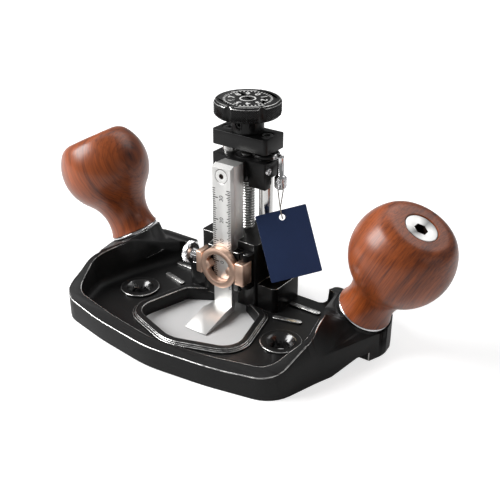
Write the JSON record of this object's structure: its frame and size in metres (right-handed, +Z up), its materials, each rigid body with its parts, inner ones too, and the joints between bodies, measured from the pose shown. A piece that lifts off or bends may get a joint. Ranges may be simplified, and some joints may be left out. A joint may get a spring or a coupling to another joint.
{
  "type": "hand router plane",
  "caption": "Hand router plane with a black tray sole and open throat, an L-shaped blade on a screw-driven slide, a hinged ring clamp and turned wooden knobs.",
  "frame": {"origin": "on the lead screw's axis, in the plane of the sole", "axes": "+X across the tool towards the right handle as seen from the front, -Y to the front of the tool where the blade points, +Z up along the lead screw"},
  "size_m": [0.1982, 0.0839, 0.0932],
  "materials": {
    "black_metal": "satin black",
    "steel": "turned and polished",
    "blade_steel": "finely ground",
    "chrome": "bright",
    "bronze": "satin, rose coloured",
    "brass": "satin",
    "rosewood": "oiled, satin",
    "card": "printed card, matt",
    "string": "twisted thread"
  },
  "bodies": {
    "frame": {"sole_plate": "black_metal", "post_housing": "black_metal", "post_screws": "steel", "guide_rod_left": "steel", "guide_rod_right": "steel", "top_plate": "black_metal", "plate_screws": "steel", "thrust_washer": "steel", "clamp_hinge_pin": "steel", "handle_left": "rosewood", "handle_right": "rosewood", "ferrule_left": "chrome", "ferrule_right": "chrome", "handle_bolt_left": "chrome", "handle_bolt_right": "chrome", "tag_clasp": "chrome", "tag_string": "string", "hang_tag": "card"},
    "screw": {"adjuster_knob": "black_metal", "lead_screw": "steel", "retaining_clip": "steel", "knob_grub_screw": "steel"},
    "slide": {"slide_block": "black_metal", "lead_nut": "steel", "nut_lock_screw": "chrome", "blade_bar": "blade_steel", "blade": "blade_steel", "blade_screw": "steel"},
    "clamp": {"blade_clamp": "bronze"},
    "thumbscrew": {"clamp_thumbscrew": "chrome"},
    "lock": {"lock_knob": "brass"}
  },
  "joints": [
    {"name": "knob_turn", "type": "hinge", "parent": "frame", "child": "screw", "pos_m": [0, 0, 0.0864], "axis": [0, 0, 1], "range_deg": [0, 6048]},
    {"name": "slide_travel", "type": "slide", "parent": "frame", "child": "slide", "axis": [0, 0, 1], "range_m": [-0.021, 0]},
    {"name": "clamp_swing", "type": "hinge", "parent": "frame", "child": "clamp", "pos_m": [0.0112, -0.0171, 0.0235], "axis": [0, 0, 1], "range_deg": [0, 88]},
    {"name": "thumbscrew_turn", "type": "hinge", "parent": "clamp", "child": "thumbscrew", "pos_m": [-0.015, -0.0171, 0.0235], "axis": [-1, 0, 0], "continuous": true},
    {"name": "lock_turn", "type": "hinge", "parent": "frame", "child": "lock", "pos_m": [0.02, 0, 0.026], "axis": [1, 0, 0], "continuous": true}
  ],
  "couplings": [
    {"joint": "slide_travel", "follows": "knob_turn", "m_per_rad": -0.00019894}
  ]
}
